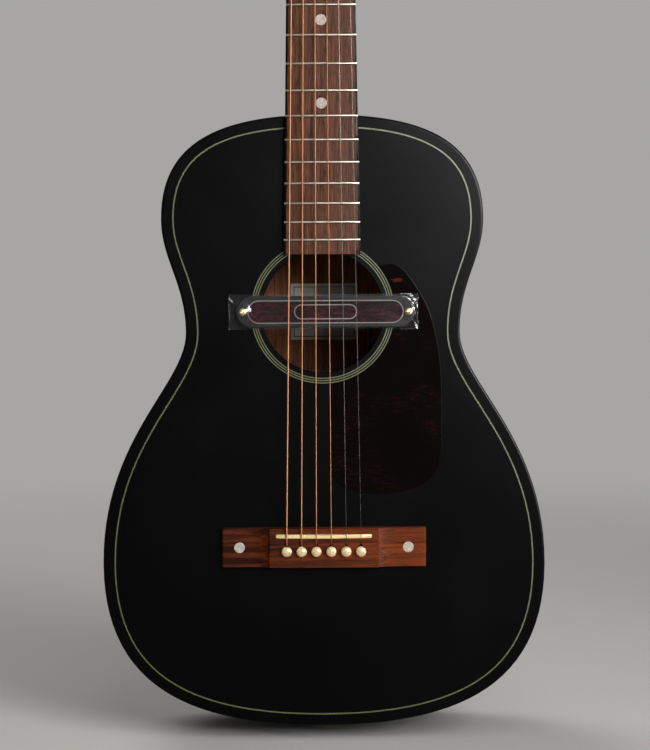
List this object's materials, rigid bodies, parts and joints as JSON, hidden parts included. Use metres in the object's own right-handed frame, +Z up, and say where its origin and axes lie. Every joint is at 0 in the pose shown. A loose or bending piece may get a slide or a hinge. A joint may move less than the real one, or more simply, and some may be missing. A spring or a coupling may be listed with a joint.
{
  "type": "acoustic guitar",
  "caption": "Parlour acoustic guitar with a bar pickup across its sound hole, worm-geared tuners and an end-pin output jack.",
  "frame": {"origin": "centre of the mouth of the output jack at the tail of the body", "axes": "+Z up along the neck, the soundboard faces -Y, +X to the treble strings"},
  "size_m": [0.326, 0.109, 0.9329],
  "materials": {
    "black_satin": "satin",
    "bare_wood": "bare",
    "spruce": "bare",
    "walnut": "oiled",
    "cream_line": "satin",
    "tortoise": "polished",
    "bone": "satin",
    "pearl": "polished",
    "nickel": "polished",
    "brass": "satin",
    "steel": "satin",
    "bronze": "wound",
    "black_plastic": "satin",
    "copper": "wound",
    "paper": "matt",
    "rubber": "matt",
    "ivory_button": "polished"
  },
  "bodies": {
    "guitar": {"soundboard": "black_satin", "back": "black_satin", "side_bass": "black_satin", "side_treble": "black_satin", "end_blocks": "bare_wood", "linings": "bare_wood", "top_braces": "spruce", "back_braces": "spruce", "bridge_plate": "bare_wood", "purfling": "cream_line", "rosette": "cream_line", "pickguard": "tortoise", "label": "paper", "bridge": "walnut", "saddle": "bone", "bridge_pins": "bone", "bridge_bolts": "brass", "pearl_dots": "pearl", "neck": "black_satin", "headstock": "black_satin", "fingerboard": "walnut", "frets": "steel", "nut": "bone", "truss_rod": "steel", "truss_cover": "black_plastic", "headstock_screws": "nickel", "tuner_plates": "nickel", "post_bushings": "nickel", "wound_strings": "bronze", "plain_strings": "steel", "pickup_case": "black_plastic", "pickup_cover": "tortoise", "pickup_screws": "brass", "pickup_coil": "copper", "pickup_lead": "rubber", "endpin_jack": "nickel"},
    "key_1": {"worm_shaft_1": "nickel", "tuner_button_1": "ivory_button"},
    "post_1": {"string_post_1": "nickel", "tuner_gear_1": "brass"},
    "key_2": {"worm_shaft_2": "nickel", "tuner_button_2": "ivory_button"},
    "post_2": {"string_post_2": "nickel", "tuner_gear_2": "brass"},
    "key_3": {"worm_shaft_3": "nickel", "tuner_button_3": "ivory_button"},
    "post_3": {"string_post_3": "nickel", "tuner_gear_3": "brass"},
    "key_4": {"worm_shaft_4": "nickel", "tuner_button_4": "ivory_button"},
    "post_4": {"string_post_4": "nickel", "tuner_gear_4": "brass"},
    "key_5": {"worm_shaft_5": "nickel", "tuner_button_5": "ivory_button"},
    "post_5": {"string_post_5": "nickel", "tuner_gear_5": "brass"},
    "key_6": {"worm_shaft_6": "nickel", "tuner_button_6": "ivory_button"},
    "post_6": {"string_post_6": "nickel", "tuner_gear_6": "brass"}
  },
  "joints": [
    {"name": "key_turn_1", "type": "hinge", "parent": "guitar", "child": "key_1", "pos_m": [-0.0255, -0.02303, 0.8009], "axis": [1, 0, 0], "continuous": true},
    {"name": "post_turn_1", "type": "hinge", "parent": "guitar", "child": "post_1", "pos_m": [-0.0255, -0.03999, 0.81113], "axis": [0, -0.9816, 0.1908], "continuous": true},
    {"name": "key_turn_2", "type": "hinge", "parent": "guitar", "child": "key_2", "pos_m": [-0.0255, -0.0152, 0.84115], "axis": [1, 0, 0], "continuous": true},
    {"name": "post_turn_2", "type": "hinge", "parent": "guitar", "child": "post_2", "pos_m": [-0.0255, -0.03216, 0.85138], "axis": [0, -0.9816, 0.1908], "continuous": true},
    {"name": "key_turn_3", "type": "hinge", "parent": "guitar", "child": "key_3", "pos_m": [-0.0255, -0.00738, 0.8814], "axis": [1, 0, 0], "continuous": true},
    {"name": "post_turn_3", "type": "hinge", "parent": "guitar", "child": "post_3", "pos_m": [-0.0255, -0.02434, 0.89162], "axis": [0, -0.9816, 0.1908], "continuous": true},
    {"name": "key_turn_4", "type": "hinge", "parent": "guitar", "child": "key_4", "pos_m": [0.0255, -0.00738, 0.8814], "axis": [1, 0, 0], "continuous": true},
    {"name": "post_turn_4", "type": "hinge", "parent": "guitar", "child": "post_4", "pos_m": [0.0255, -0.02434, 0.89162], "axis": [0, -0.9816, 0.1908], "continuous": true},
    {"name": "key_turn_5", "type": "hinge", "parent": "guitar", "child": "key_5", "pos_m": [0.0255, -0.0152, 0.84115], "axis": [1, 0, 0], "continuous": true},
    {"name": "post_turn_5", "type": "hinge", "parent": "guitar", "child": "post_5", "pos_m": [0.0255, -0.03216, 0.85138], "axis": [0, -0.9816, 0.1908], "continuous": true},
    {"name": "key_turn_6", "type": "hinge", "parent": "guitar", "child": "key_6", "pos_m": [0.0255, -0.02303, 0.8009], "axis": [1, 0, 0], "continuous": true},
    {"name": "post_turn_6", "type": "hinge", "parent": "guitar", "child": "post_6", "pos_m": [0.0255, -0.03999, 0.81113], "axis": [0, -0.9816, 0.1908], "continuous": true}
  ],
  "couplings": [
    {"joint": "post_turn_1", "follows": "key_turn_1", "ratio": 0.071429},
    {"joint": "post_turn_2", "follows": "key_turn_2", "ratio": 0.071429},
    {"joint": "post_turn_3", "follows": "key_turn_3", "ratio": 0.071429},
    {"joint": "post_turn_4", "follows": "key_turn_4", "ratio": -0.071429},
    {"joint": "post_turn_5", "follows": "key_turn_5", "ratio": -0.071429},
    {"joint": "post_turn_6", "follows": "key_turn_6", "ratio": -0.071429}
  ]
}
